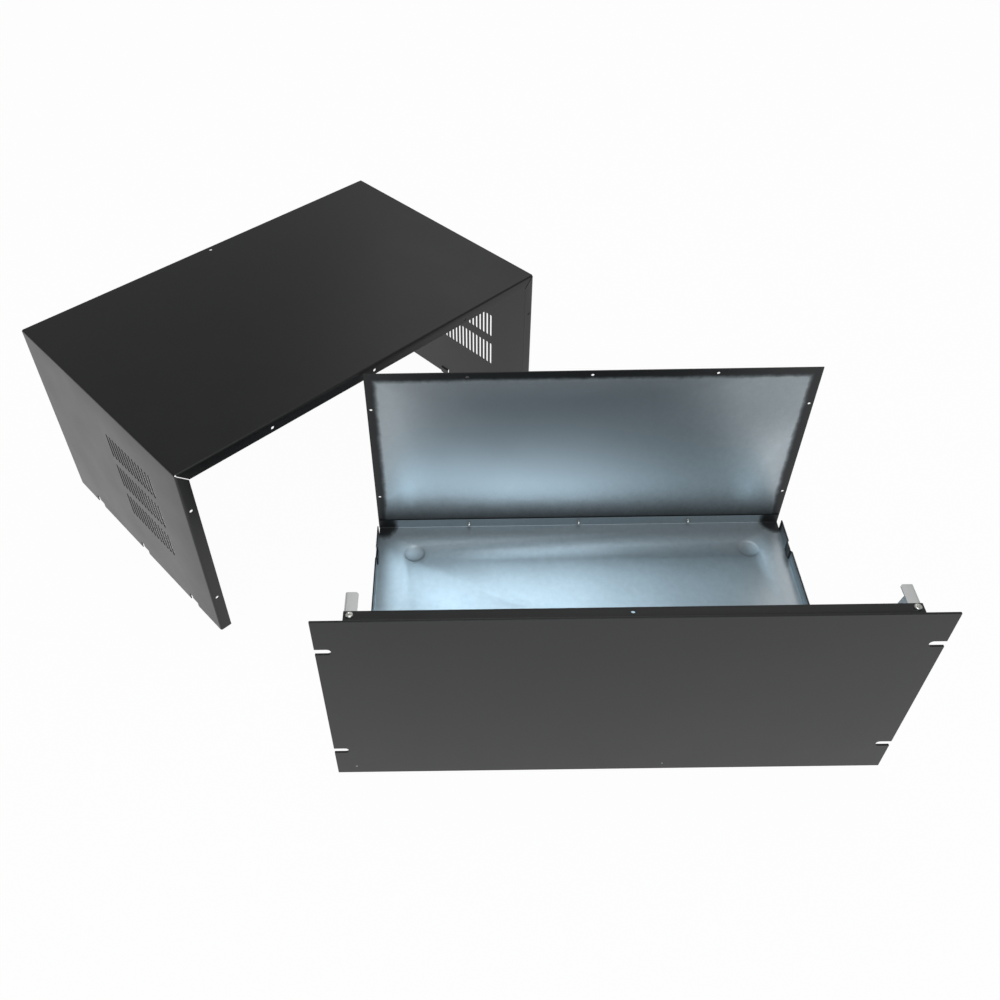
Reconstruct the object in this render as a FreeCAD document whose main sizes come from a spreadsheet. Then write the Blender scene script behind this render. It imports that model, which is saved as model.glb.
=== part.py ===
"""Sheet metal chassis: a 19 inch, five unit rack case with its cover taken off.

Millimetres. X runs to the right, Y to the back and Z up. Y = 0 is the back face of the front
plate, which is the face that seats on a rack's rails. X = 0 is the middle of the case, and
Z = 0 is the surface that the front plate, the four pressed feet and the cover stand on.

Every size is a cell of the sheet "Sizes", and every feature is tied to those cells.
"""
import FreeCAD, Part
import math
import os
import re

import Sketcher

# alias, value and meaning of each driving size. Every alias holds an underscore.
SIZES = (
    # front plate
    ("panel_width", 482.6, "front plate, side to side"),
    ("panel_height", 221.5, "front plate, bottom to top"),
    ("panel_sheet", 2.0, "front plate, thickness"),
    ("slot_rise", 146.05, "lower rack slots to upper rack slots"),
    ("slot_depth", 12.8, "rack slot, side edge to its round end"),
    ("slot_height", 6.6, "rack slot, across"),
    # base pan
    ("base_sheet", 1.2, "base pan, thickness"),
    ("base_bend", 0.8, "base pan, inside radius of its folds"),
    ("base_width", 442.0, "base pan, over the side flanges"),
    ("base_depth", 292.5, "base pan, front wall to rear flange, over both"),
    ("side_height", 13.8, "side flange, from the floor's underside"),
    ("side_setback", 10.5, "side flange, short of each end of the floor"),
    ("rear_height", 12.8, "rear flange, from the floor's underside"),
    ("wall_inset", 4.5, "front wall's ends, in from the side flanges' outer faces"),
    ("strip_drop", 2.0, "top strip, below the front plate's top edge"),
    ("strip_depth", 10.0, "top strip, front to back"),
    ("strip_row", 5.8, "holes of the top strip, from its front"),
    # pressed feet
    ("foot_depth", 1.2, "foot, how far it is pressed below the floor"),
    ("foot_flat", 17.5, "foot, diameter of its flat"),
    ("foot_rim", 25.0, "foot, diameter where it leaves the floor"),
    ("foot_inset", 41.0, "feet, in from the side flanges' outer faces"),
    ("foot_setback", 39.3, "feet, from the front and from the rear of the floor"),
    # pockets of the side flanges and tongues of the cover
    ("catch_count", 3, "pockets along each side"),
    ("catch_spacing", 98.5, "pockets, one to the next"),
    ("catch_offset", 1.5, "pocket and tongue, how far they are set inwards"),
    ("catch_slope", 1.6, "pocket, length of each slanted end"),
    ("tongue_width", 12.0, "tongue, along the cover"),
    ("tongue_height", 9.0, "tongue, above the cover's bottom edge"),
    ("tongue_slope", 2.0, "tongue, height of its slanted root"),
    ("tongue_slit", 1.0, "slit beside each tongue"),
    # rear panel
    ("rear_sheet", 1.2, "rear panel, thickness"),
    ("rear_inset", 0.6, "rear panel's side edges, in from the side flanges' outer faces"),
    ("rear_drop", 0.9, "rear panel's top edge, below the top strip"),
    ("rear_top_edge", 5.2, "upper holes, from the rear panel's top edge"),
    ("rear_side_edge", 4.1, "side holes, from the rear panel's side edge"),
    ("side_hole_low", 48.5, "lower side holes, from the rear panel's bottom edge"),
    ("side_hole_high", 45.5, "upper side holes, from the rear panel's top edge"),
    ("fixing_spacing", 120.5, "holes and screws of a row of three, one to the next"),
    ("rear_screw_rise", 6.8, "rear screws, above the floor's underside"),
    # gussets
    ("gusset_sheet", 1.2, "gusset, thickness"),
    ("gusset_bend", 0.8, "gusset, inside radius of its folds"),
    ("gusset_tab", 10.2, "gusset's tab under the top strip, side to side"),
    ("gusset_foot", 12.0, "gusset's foot on the floor, side to side"),
    ("gusset_lap", 12.0, "gusset's flange on the front wall, side to side"),
    ("gusset_top", 29.0, "gusset's tab, its rear end from the front plate"),
    ("gusset_heel", 80.0, "gusset's foot, its rear end from the front plate"),
    ("gusset_straight", 7.3, "upright stretch of the gusset's rear edge"),
    ("gusset_corner", 1.5, "bevel on the tab's free corner"),
    # cover
    ("cover_sheet", 1.0, "cover, thickness"),
    ("cover_bend", 1.0, "cover, inside radius of its folds"),
    ("cover_gap", 0.4, "clearance between the cover and the base pan, each side"),
    ("cover_lift", 0.2, "clearance between the cover and the top strip"),
    ("cover_front_gap", 0.3, "clearance between the cover and the front plate"),
    ("cover_rear_gap", 0.2, "clearance between the cover and the rear panel"),
    ("cover_flange", 12.0, "cover's rear flanges, outside"),
    ("mitre_gap", 1.0, "gap between the rear flanges at the corners"),
    ("vent_width", 3.0, "vent slot, across"),
    ("vent_length", 30.5, "vent slot, end to end"),
    ("vent_columns", 14, "vent slots in a row"),
    ("vent_rows", 3, "rows of vent slots"),
    ("vent_pitch", 6.05, "vent slots, one to the next in a row"),
    ("vent_row_pitch", 41.2, "rows of vent slots, one to the next"),
    ("vent_setback", 150.9, "first vent slot, from the cover's front edge"),
    ("vent_drop", 59.3, "middle of the first row, below the cover's top"),
    # where the cover stands, taken off
    ("cover_turn", 222.77, "cover, turned about Z, in degrees"),
    ("stand_gap", 2.0, "cover's rear flanges, clear of the rear panel's left corner"),
    ("stand_shift", 16.5, "that corner, along the cover's open back from its middle"),
    # fasteners
    ("hole_clearance", 0.4, "clearance hole, over the diameter of what goes through"),
    ("thread_clearance", 0.1, "threaded or filled hole, over the diameter of its screw or rivet"),
    ("screw_diameter", 3.0, "screws, shank"),
    ("head_diameter", 5.8, "screws, head"),
    ("head_height", 1.9, "screws, head"),
    ("head_round", 1.2, "screws, rounding of the head's rim"),
    ("recess_length", 3.2, "screws, cross recess, end to end"),
    ("recess_width", 0.7, "screws, cross recess, across one arm"),
    ("recess_depth", 1.0, "screws, cross recess"),
    ("strip_screw_edge", 5.0, "screws of the top strip, from its ends"),
    ("strip_screw_length", 6.0, "screws of the top strip, under the head"),
    ("rear_screw_length", 6.4, "screws of the rear panel, under the head"),
    ("rivet_diameter", 3.2, "rivets, shank"),
    ("rivet_head", 6.2, "rivets, head diameter"),
    ("rivet_rise", 0.9, "rivets, head height"),
    ("rivet_edge", 7.0, "rivets, from the gusset's outer face"),
    ("rivet_front", 20.0, "front rivet, from the front plate"),
    ("rivet_rear", 62.0, "rear rivet, from the front plate"),
    ("stud_diameter", 4.0, "front plate's welded studs"),
    ("stud_length", 8.0, "studs, from the back of the front plate"),
    ("stud_inset", 36.5, "studs, in from the front wall's ends"),
    ("stud_low", 40.0, "lower studs, from the front plate's bottom edge"),
    ("stud_high", 41.5, "upper studs, from the front plate's top edge"),
    ("nut_width", 7.0, "nuts, across flats"),
    ("nut_height", 3.2, "nuts, along the stud"),
    ("over_run", 1.0, "how far a cutting shape runs past what it cuts, or a flange into its sheet"),
)

# places that several pieces share, as formulas on the sheet
FLOOR_UNDER = "foot_depth"
FLOOR_TOP = "(foot_depth + base_sheet)"
STRIP_TOP = "(panel_height - strip_drop)"
STRIP_UNDER = "(panel_height - strip_drop - base_sheet)"
BASE_SIDE = "(base_width / 2)"
BASE_FOLD = "(base_bend + base_sheet)"
WALL_SIDE = "(base_width / 2 - wall_inset)"
REAR_TOP = "(panel_height - strip_drop - rear_drop)"
REAR_SIDE = "(base_width / 2 - rear_inset)"
SIDE_HOLES = (
    "(foot_depth + side_hole_low)",
    "(panel_height - strip_drop - rear_drop - side_hole_high)",
)
STUD_SIDE = "(base_width / 2 - wall_inset - stud_inset)"
STUDS = (("lower", "stud_low"), ("upper", "(panel_height - stud_high)"))
GUSSET_FOLD = "(gusset_bend + gusset_sheet)"
FIRST_CATCH = "(base_depth / 2 - (catch_count - 1) / 2 * catch_spacing)"
COVER_SIDE = "(base_width / 2 + cover_gap + cover_sheet)"
COVER_TOP = "(panel_height - strip_drop + cover_lift + cover_sheet - foot_depth)"
COVER_REAR = "(base_depth + rear_sheet + cover_rear_gap + cover_sheet)"
COVER_FOLD = "(cover_bend + cover_sheet)"
STAND_BACK = f"({COVER_REAR} + stand_gap)"
CLEAR_HOLE = "(screw_diameter + hole_clearance)"
THREAD_HOLE = "(screw_diameter + thread_clearance)"
RIVET_HOLE = "(rivet_diameter + thread_clearance)"

SIDES = (("left", -1), ("right", 1))
ROW_OF_THREE = (("left", -1), ("middle", 0), ("right", 1))

doc = FreeCAD.newDocument("SheetMetalChassis")


def fill_sheet():
    """Write the sizes into the spreadsheet, one alias to a row."""
    sheet = doc.addObject("Spreadsheet::Sheet", "Sizes")
    for row, (alias, value, meaning) in enumerate(SIZES, start=1):
        sheet.set(f"A{row}", meaning)
        sheet.set(f"B{row}", str(value))
        sheet.setAlias(f"B{row}", alias)
    doc.recompute()
    return sheet


SHEET = fill_sheet()


def formula(text):
    """Name the sheet in front of each alias of a formula."""
    return re.sub(r"[a-z]+(?:_[a-z]+)+", lambda word: "Sizes." + word.group(), text)


def value_of(text):
    """What a formula comes to now."""
    return float(SHEET.evalExpression(formula(text)))


def tie(item, path, text):
    """Bind one property or constraint of an object to a formula."""
    item.setExpression(path, formula(text))


def origin_feature(body, role):
    """One of the body's own origin planes or axes."""
    return next(item for item in body.Origin.OriginFeatures if item.Role == role)


def new_body(name):
    body = doc.addObject("PartDesign::Body", name)
    body.Label = name
    return body


# sketches: (across, up) is (X, Y) on the XY plane, (X, Z) on XZ and (Y, Z) on YZ


def new_sketch(body, name, plane, lift="0", shift="0"):
    """An empty sketch on an origin plane, lifted along the plane's normal and shifted across."""
    sketch = body.newObject("Sketcher::SketchObject", name)
    sketch.AttachmentSupport = (origin_feature(body, plane), [""])
    sketch.MapMode = "FlatFace"
    tie(sketch, "AttachmentOffset.Base.x", shift)
    tie(sketch, "AttachmentOffset.Base.z", lift)
    return sketch


def dimension(sketch, kind, *where, size):
    """A dimension of the sketch that follows a formula."""
    number = sketch.addConstraint(Sketcher.Constraint(kind, *where, value_of(size)))
    tie(sketch, f"Constraints[{number}]", size)


def locate(sketch, shape, point, across, up):
    """Hold one point of a sketch at two formulas, measured from the origin."""
    dimension(sketch, "DistanceX", -1, 1, shape, point, size=across)
    dimension(sketch, "DistanceY", -1, 1, shape, point, size=up)


def draw_outline(sketch, corners):
    """Draw a closed outline. A corner is (across, up) or (across, up, fold radius)."""
    count = len(corners)
    places = [FreeCAD.Vector(value_of(corner[0]), value_of(corner[1]), 0) for corner in corners]
    arrive = list(places)
    leave = list(places)
    middle = list(places)
    for index, corner in enumerate(corners):
        if len(corner) < 3:
            continue
        place = places[index]
        back = (places[index - 1] - place).normalize()
        onward = (places[(index + 1) % count] - place).normalize()
        radius = value_of(corner[2])
        half_angle = back.getAngle(onward) / 2
        arrive[index] = place + back * (radius / math.tan(half_angle))
        leave[index] = place + onward * (radius / math.tan(half_angle))
        inward = (back + onward).normalize()
        middle[index] = place + inward * (radius / math.sin(half_angle) - radius)
    sides = [
        sketch.addGeometry(Part.LineSegment(leave[index], arrive[(index + 1) % count]), False)
        for index in range(count)
    ]
    for index, corner in enumerate(corners):
        before, after = sides[index - 1], sides[index]
        if len(corner) < 3:
            sketch.addConstraint(Sketcher.Constraint("Coincident", before, 2, after, 1))
            locate(sketch, after, 1, corner[0], corner[1])
            continue
        fold = Part.Arc(arrive[index], middle[index], leave[index])
        arc = sketch.addGeometry(fold, False)
        first = 1 if sketch.getPoint(arc, 1).distanceToPoint(arrive[index]) < 1e-6 else 2
        sketch.addConstraint(Sketcher.Constraint("Tangent", before, 2, arc, first))
        sketch.addConstraint(Sketcher.Constraint("Tangent", arc, 3 - first, after, 1))
        dimension(sketch, "Radius", arc, size=corner[2])
        tip = sketch.addGeometry(Part.Point(places[index]), True)
        sketch.addConstraint(Sketcher.Constraint("PointOnObject", tip, 1, before))
        sketch.addConstraint(Sketcher.Constraint("PointOnObject", tip, 1, after))
        locate(sketch, tip, 1, corner[0], corner[1])


def draw_box(sketch, left, bottom, right, top):
    draw_outline(sketch, ((left, bottom), (right, bottom), (right, top), (left, top)))


def draw_circle(sketch, across, up, diameter):
    centre = FreeCAD.Vector(value_of(across), value_of(up), 0)
    circle = Part.Circle(centre, FreeCAD.Vector(0, 0, 1), value_of(diameter) / 2)
    shape = sketch.addGeometry(circle, False)
    locate(sketch, shape, 3, across, up)
    dimension(sketch, "Diameter", shape, size=diameter)


def draw_slot(sketch, start, end, width):
    """Draw a slot with two round ends whose centres are start and end."""
    first = FreeCAD.Vector(value_of(start[0]), value_of(start[1]), 0)
    last = FreeCAD.Vector(value_of(end[0]), value_of(end[1]), 0)
    radius = value_of(width) / 2
    along = (last - first).normalize() * radius
    beside = FreeCAD.Vector(-along.y, along.x, 0)
    near = sketch.addGeometry(Part.Arc(first + beside, first - along, first - beside), False)
    low = sketch.addGeometry(Part.LineSegment(first - beside, last - beside), False)
    far = sketch.addGeometry(Part.Arc(last - beside, last + along, last + beside), False)
    high = sketch.addGeometry(Part.LineSegment(last + beside, first + beside), False)
    for one, one_point, other, other_point in (
        (near, 2, low, 1), (low, 2, far, 1), (far, 2, high, 1), (high, 2, near, 1),
    ):
        sketch.addConstraint(Sketcher.Constraint("Tangent", one, one_point, other, other_point))
    sketch.addConstraint(Sketcher.Constraint("Equal", near, far))
    dimension(sketch, "Diameter", near, size=width)
    locate(sketch, near, 3, *start)
    locate(sketch, far, 3, *end)


# features


def finish_feature(body, feature, grows):
    """Build the feature and make sure that it added or removed material."""
    before = feature.BaseFeature.Shape.Volume if feature.BaseFeature else 0
    doc.recompute()
    change = feature.Shape.Volume - before
    if change * (1 if grows else -1) <= 0:
        raise RuntimeError(f"{body.Label}: {feature.Label} changed the volume by {change:.3f}")
    return feature


def pad(body, sketch, length, toward_back=False, both_ways=False):
    """Add a sketch's outline as material, along the plane's normal or against it."""
    feature = body.newObject("PartDesign::Pad", sketch.Name + "_pad")
    feature.Profile = sketch
    feature.SideType = "Symmetric" if both_ways else "One side"
    feature.Reversed = toward_back
    tie(feature, "Length", length)
    return finish_feature(body, feature, grows=True)


def cut(body, sketch, length=None):
    """Remove a sketch's outline both ways from its plane, by a length in all or right through."""
    feature = body.newObject("PartDesign::Pocket", sketch.Name + "_cut")
    feature.Profile = sketch
    feature.SideType = "Symmetric"
    if length is None:
        feature.Type = "ThroughAll"
    else:
        tie(feature, "Length", length)
    return finish_feature(body, feature, grows=False)


def turn(body, sketch, kind):
    """Revolve a sketch about its own upright axis, as material or as a recess."""
    feature = body.newObject(kind, sketch.Name + "_turn")
    feature.Profile = sketch
    feature.ReferenceAxis = (sketch, ["V_Axis"])
    feature.Angle = 360
    return finish_feature(body, feature, grows=kind == "PartDesign::Revolution")


def row_along(body, name, axis, spacing, count):
    """A row of copies along one of the body's axes, as a step of a pattern."""
    row = doc.addObject("PartDesign::LinearPattern", name)
    row.Direction = (origin_feature(body, axis), [""])
    row.Mode = "Spacing"
    tie(row, "Offset", spacing)
    tie(row, "Occurrences", count)
    return row


def mirror_across(body, name, plane):
    """A mirror image across one of the body's planes, as a step of a pattern."""
    mirror = doc.addObject("PartDesign::Mirrored", name)
    mirror.MirrorPlane = (origin_feature(body, plane), [""])
    return mirror


def repeat(body, name, features, steps, copies):
    """Repeat features by one or more steps, each acting on all the copies before it.

    Each copy must change the surface as much as the first one did.
    """
    before = body.Shape.Area
    one_copy = before - features[0].BaseFeature.Shape.Area
    pattern = body.newObject("PartDesign::MultiTransform", name)
    pattern.Originals = features
    pattern.Transformations = steps
    body.Tip = pattern
    doc.recompute()
    change = body.Shape.Area - before
    expected = one_copy * (value_of(copies) - 1)
    if abs(change - expected) > 0.01 * abs(expected):
        raise RuntimeError(f"{body.Label}: {name} changed {change:.3f}, not {expected:.3f}")
    return pattern


# the pieces


def build_front_panel():
    """A flat rack plate with an open slot near each corner."""
    body = new_body("front_panel")
    plate = new_sketch(body, "plate", "XZ_Plane")
    draw_box(plate, "-panel_width / 2", "0", "panel_width / 2", "panel_height")
    pad(body, plate, "panel_sheet")

    slots = new_sketch(body, "rack_slots", "XZ_Plane")
    for _, side in SIDES:
        inner_end = f"{side} * (panel_width / 2 - slot_depth + slot_height / 2)"
        beyond_edge = f"{side} * (panel_width / 2 + slot_height)"
        for level in (-1, 1):
            height = f"panel_height / 2 + {level} * slot_rise / 2"
            draw_slot(slots, (inner_end, height), (beyond_edge, height), "slot_height")
    cut(body, slots)
    return body


def build_base_pan():
    """One folded sheet: floor, side and rear flanges, front wall and the strip along its top."""
    body = new_body("base_pan")
    side_top = f"{FLOOR_UNDER} + side_height"
    floor_end = "base_depth - side_setback"

    sides = new_sketch(body, "floor_and_sides", "XZ_Plane", lift="-side_setback")
    draw_outline(sides, (
        (f"-{BASE_SIDE}", side_top),
        (f"-{BASE_SIDE}", FLOOR_UNDER, BASE_FOLD),
        (BASE_SIDE, FLOOR_UNDER, BASE_FOLD),
        (BASE_SIDE, side_top),
        (f"{BASE_SIDE} - base_sheet", side_top),
        (f"{BASE_SIDE} - base_sheet", FLOOR_TOP, "base_bend"),
        (f"-{BASE_SIDE} + base_sheet", FLOOR_TOP, "base_bend"),
        (f"-{BASE_SIDE} + base_sheet", side_top),
    ))
    pad(body, sides, "base_depth - 2 * side_setback", toward_back=True)

    front = new_sketch(body, "front_wall_and_strip", "YZ_Plane")
    draw_outline(front, (
        ("strip_depth", STRIP_TOP),
        ("0", STRIP_TOP, BASE_FOLD),
        ("0", FLOOR_UNDER, BASE_FOLD),
        ("side_setback", FLOOR_UNDER),
        ("side_setback", FLOOR_TOP),
        ("base_sheet", FLOOR_TOP, "base_bend"),
        ("base_sheet", STRIP_UNDER, "base_bend"),
        ("strip_depth", STRIP_UNDER),
    ))
    pad(body, front, f"2 * {WALL_SIDE}", both_ways=True)

    rear = new_sketch(body, "rear_flange", "YZ_Plane")
    draw_outline(rear, (
        (floor_end, FLOOR_UNDER),
        ("base_depth", FLOOR_UNDER, BASE_FOLD),
        ("base_depth", f"{FLOOR_UNDER} + rear_height"),
        ("base_depth - base_sheet", f"{FLOOR_UNDER} + rear_height"),
        ("base_depth - base_sheet", FLOOR_TOP, "base_bend"),
        (floor_end, FLOOR_TOP),
    ))
    pad(body, rear, "base_width - 2 * base_sheet", both_ways=True)

    add_feet(body)
    add_side_pockets(body)
    add_base_holes(body)
    return body


def add_feet(body):
    """Four feet pressed down from the floor: a flat disc with a sloped rim."""
    places = {"lift": "-foot_setback", "shift": f"-({BASE_SIDE} - foot_inset)"}
    below = new_sketch(body, "foot_below", "XZ_Plane", **places)
    draw_outline(below, (
        ("0", "0"), ("foot_flat / 2", "0"), ("foot_rim / 2", "foot_depth"), ("0", "foot_depth"),
    ))
    disc = turn(body, below, "PartDesign::Revolution")
    above = new_sketch(body, "foot_above", "XZ_Plane", **places)
    draw_outline(above, (
        ("0", "base_sheet"), ("foot_flat / 2", "base_sheet"),
        ("foot_rim / 2", FLOOR_TOP), ("0", FLOOR_TOP),
    ))
    recess = turn(body, above, "PartDesign::Groove")
    across = row_along(body, "feet_across", "X_Axis", "base_width - 2 * foot_inset", "2")
    along = row_along(body, "feet_along", "Y_Axis", "base_depth - 2 * foot_setback", "2")
    repeat(body, "feet", [disc, recess], [across, along], "4")


def add_side_pockets(body):
    """Pockets pressed inwards in the side flanges, where the cover's tongues drop in."""
    base = f"{FLOOR_UNDER} + {BASE_FOLD}"
    rise = f"side_height - {BASE_FOLD}"
    half_flat = "(tongue_width / 2 + cover_gap)"
    half_pocket = f"({half_flat} + catch_slope)"
    inner = f"{BASE_SIDE} - base_sheet"

    opening = new_sketch(body, "pocket_opening", "XY_Plane", lift=f"{base} + {rise} / 2")
    draw_box(
        opening, f"{inner} - over_run", f"{FIRST_CATCH} - {half_pocket}",
        f"{BASE_SIDE} + over_run", f"{FIRST_CATCH} + {half_pocket}",
    )
    gap = cut(body, opening, rise)

    pocket = new_sketch(body, "pocket_wall", "XY_Plane", lift=base)
    draw_outline(pocket, (
        (BASE_SIDE, f"{FIRST_CATCH} - {half_pocket}"),
        (f"{BASE_SIDE} - catch_offset", f"{FIRST_CATCH} - {half_flat}"),
        (f"{BASE_SIDE} - catch_offset", f"{FIRST_CATCH} + {half_flat}"),
        (BASE_SIDE, f"{FIRST_CATCH} + {half_pocket}"),
        (inner, f"{FIRST_CATCH} + {half_pocket}"),
        (f"{inner} - catch_offset", f"{FIRST_CATCH} + {half_flat}"),
        (f"{inner} - catch_offset", f"{FIRST_CATCH} - {half_flat}"),
        (inner, f"{FIRST_CATCH} - {half_pocket}"),
    ))
    wall = pad(body, pocket, rise)
    along = row_along(body, "pockets_along", "Y_Axis", "catch_spacing", "catch_count")
    other_side = mirror_across(body, "pockets_other_side", "YZ_Plane")
    repeat(body, "side_pockets", [gap, wall], [along, other_side], "2 * catch_count")


def add_base_holes(body):
    """Holes of the top strip, the rear flange, the floor and the front wall."""
    strip = new_sketch(body, "strip_holes", "XY_Plane", lift=STRIP_TOP)
    draw_circle(strip, "0", "strip_row", THREAD_HOLE)
    for _, side in SIDES:
        draw_circle(strip, f"{side} * ({WALL_SIDE} - strip_screw_edge)", "strip_row", CLEAR_HOLE)
    cut(body, strip, "4 * base_sheet")

    rear = new_sketch(body, "rear_flange_holes", "XZ_Plane", lift="-base_depth")
    for _, side in ROW_OF_THREE:
        draw_circle(rear, f"{side} * fixing_spacing", f"{FLOOR_UNDER} + rear_screw_rise", THREAD_HOLE)
    cut(body, rear, "4 * base_sheet")

    floor = new_sketch(body, "rivet_holes", "XY_Plane", lift=FLOOR_UNDER)
    for _, side in SIDES:
        for place in ("rivet_front", "rivet_rear"):
            draw_circle(floor, f"{side} * ({WALL_SIDE} - rivet_edge)", place, RIVET_HOLE)
    cut(body, floor, "4 * base_sheet")

    wall = new_sketch(body, "stud_holes", "XZ_Plane")
    for _, side in SIDES:
        for _, height in STUDS:
            draw_circle(wall, f"{side} * {STUD_SIDE}", height, "stud_diameter + hole_clearance")
    cut(body, wall, "4 * base_sheet")


def build_rear_panel():
    """A flat plate on the back of the rear flange."""
    body = new_body("rear_panel")
    plate = new_sketch(body, "plate", "XZ_Plane", lift="-base_depth")
    draw_box(plate, f"-{REAR_SIDE}", FLOOR_UNDER, REAR_SIDE, REAR_TOP)
    pad(body, plate, "rear_sheet", toward_back=True)

    holes = new_sketch(body, "holes", "XZ_Plane", lift="-base_depth")
    for _, side in ROW_OF_THREE:
        draw_circle(holes, f"{side} * fixing_spacing", f"{REAR_TOP} - rear_top_edge", THREAD_HOLE)
        draw_circle(holes, f"{side} * fixing_spacing", f"{FLOOR_UNDER} + rear_screw_rise", CLEAR_HOLE)
    for _, side in SIDES:
        for height in SIDE_HOLES:
            draw_circle(holes, f"{side} * ({REAR_SIDE} - rear_side_edge)", height, THREAD_HOLE)
    cut(body, holes)
    return body


def build_gusset(name, side):
    """A bracket from the top strip to the floor, with a lap on the front wall."""
    body = new_body(name + "_gusset")
    outer = f"{side} * {WALL_SIDE}"
    inner = f"{side} * ({WALL_SIDE} - gusset_sheet)"
    tab_end = f"{side} * ({WALL_SIDE} - gusset_tab)"
    foot_end = f"{side} * ({WALL_SIDE} - gusset_foot)"
    lap_end = f"{side} * ({WALL_SIDE} - gusset_lap)"
    web_front = f"(base_sheet + {GUSSET_FOLD})"
    foot_top = f"({FLOOR_TOP} + gusset_sheet)"

    web = new_sketch(body, "tab_web_and_foot", "XZ_Plane", lift=f"-{web_front}")
    draw_outline(web, (
        (tab_end, STRIP_UNDER),
        (outer, STRIP_UNDER, GUSSET_FOLD),
        (outer, FLOOR_TOP, GUSSET_FOLD),
        (foot_end, FLOOR_TOP),
        (foot_end, foot_top),
        (inner, foot_top, "gusset_bend"),
        (inner, f"{STRIP_UNDER} - gusset_sheet", "gusset_bend"),
        (tab_end, f"{STRIP_UNDER} - gusset_sheet"),
    ))
    pad(body, web, f"gusset_heel - {web_front}", toward_back=True)

    lap = new_sketch(body, "front_lap", "XY_Plane", lift=f"{FLOOR_TOP} + {GUSSET_FOLD}")
    draw_outline(lap, (
        (outer, f"{web_front} + over_run"),
        (outer, "base_sheet", GUSSET_FOLD),
        (lap_end, "base_sheet"),
        (lap_end, "base_sheet + gusset_sheet"),
        (inner, "base_sheet + gusset_sheet", "gusset_bend"),
        (inner, f"{web_front} + over_run"),
    ))
    pad(body, lap, f"{STRIP_UNDER} - {FLOOR_TOP} - 2 * {GUSSET_FOLD}")

    rear_edge = new_sketch(body, "rear_edge", "YZ_Plane")
    draw_outline(rear_edge, (
        ("gusset_top", f"{STRIP_UNDER} + over_run"),
        ("gusset_top", f"{STRIP_UNDER} - gusset_straight"),
        ("gusset_heel", foot_top),
        ("gusset_heel + over_run", foot_top),
        ("gusset_heel + over_run", f"{STRIP_UNDER} + over_run"),
    ))
    cut(body, rear_edge)

    corner = new_sketch(body, "tab_corner", "XY_Plane", lift=STRIP_UNDER)
    draw_outline(corner, (
        (tab_end, "gusset_top - gusset_corner"),
        (f"{tab_end} + {side} * gusset_corner", "gusset_top"),
        (tab_end, "gusset_top"),
    ))
    cut(body, corner, "4 * gusset_sheet")

    tab_hole = new_sketch(body, "tab_hole", "XY_Plane", lift=STRIP_UNDER)
    draw_circle(tab_hole, f"{side} * ({WALL_SIDE} - strip_screw_edge)", "strip_row", THREAD_HOLE)
    cut(body, tab_hole, "4 * gusset_sheet")

    foot_holes = new_sketch(body, "foot_holes", "XY_Plane", lift=FLOOR_TOP)
    for place in ("rivet_front", "rivet_rear"):
        draw_circle(foot_holes, f"{side} * ({WALL_SIDE} - rivet_edge)", place, RIVET_HOLE)
    cut(body, foot_holes, "4 * gusset_sheet")
    return body


def build_cover():
    """One folded sheet: a top, two sides and three flanges turned in round the open back.

    It is drawn where it fits on the base pan, with its bottom edge lowered to Z = 0, and then
    turned about and stood so that its open back passes the rear panel's left corner.
    """
    body = new_body("cover")
    inner_side = f"({COVER_SIDE} - cover_sheet)"
    inner_top = f"({COVER_TOP} - cover_sheet)"
    fold_start = f"({COVER_REAR} - {COVER_FOLD})"
    flange_start = f"{fold_start} - over_run"

    shell = new_sketch(body, "top_and_sides", "XZ_Plane", lift="-cover_front_gap")
    draw_outline(shell, (
        (f"-{COVER_SIDE}", "0"),
        (f"-{COVER_SIDE}", COVER_TOP, COVER_FOLD),
        (COVER_SIDE, COVER_TOP, COVER_FOLD),
        (COVER_SIDE, "0"),
        (inner_side, "0"),
        (inner_side, inner_top, "cover_bend"),
        (f"-{inner_side}", inner_top, "cover_bend"),
        (f"-{inner_side}", "0"),
    ))
    pad(body, shell, f"{fold_start} - cover_front_gap", toward_back=True)

    top_flange = new_sketch(body, "top_flange", "YZ_Plane")
    draw_outline(top_flange, (
        (flange_start, COVER_TOP),
        (COVER_REAR, COVER_TOP, COVER_FOLD),
        (COVER_REAR, f"{COVER_TOP} - cover_flange"),
        (f"{COVER_REAR} - cover_sheet", f"{COVER_TOP} - cover_flange"),
        (f"{COVER_REAR} - cover_sheet", inner_top, "cover_bend"),
        (flange_start, inner_top),
    ))
    pad(body, top_flange, f"2 * ({COVER_SIDE} - {COVER_FOLD})", both_ways=True)

    side_flanges = new_sketch(body, "side_flanges", "XY_Plane")
    for _, side in SIDES:
        draw_outline(side_flanges, (
            (f"{side} * {COVER_SIDE}", flange_start),
            (f"{side} * {COVER_SIDE}", COVER_REAR, COVER_FOLD),
            (f"{side} * ({COVER_SIDE} - cover_flange)", COVER_REAR),
            (f"{side} * ({COVER_SIDE} - cover_flange)", f"{COVER_REAR} - cover_sheet"),
            (f"{side} * {inner_side}", f"{COVER_REAR} - cover_sheet", "cover_bend"),
            (f"{side} * {inner_side}", flange_start),
        ))
    pad(body, side_flanges, f"{COVER_TOP} - {COVER_FOLD}")

    add_mitres(body)
    add_cover_holes(body)
    add_vents(body)
    add_tongues(body)

    stand = FreeCAD.Rotation(FreeCAD.Vector(0, 0, 1), value_of("cover_turn"))
    body.Placement = FreeCAD.Placement(FreeCAD.Vector(0, 0, 0), stand)
    tie(body, "Placement.Rotation.Angle", "cover_turn")
    across, along = "cos(cover_turn)", "sin(cover_turn)"
    tie(body, "Placement.Base.x",
        f"-{REAR_SIDE} - stand_shift * {across} + {STAND_BACK} * {along}")
    tie(body, "Placement.Base.y",
        f"base_depth + rear_sheet - stand_shift * {along} - {STAND_BACK} * {across}")
    return body


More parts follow.
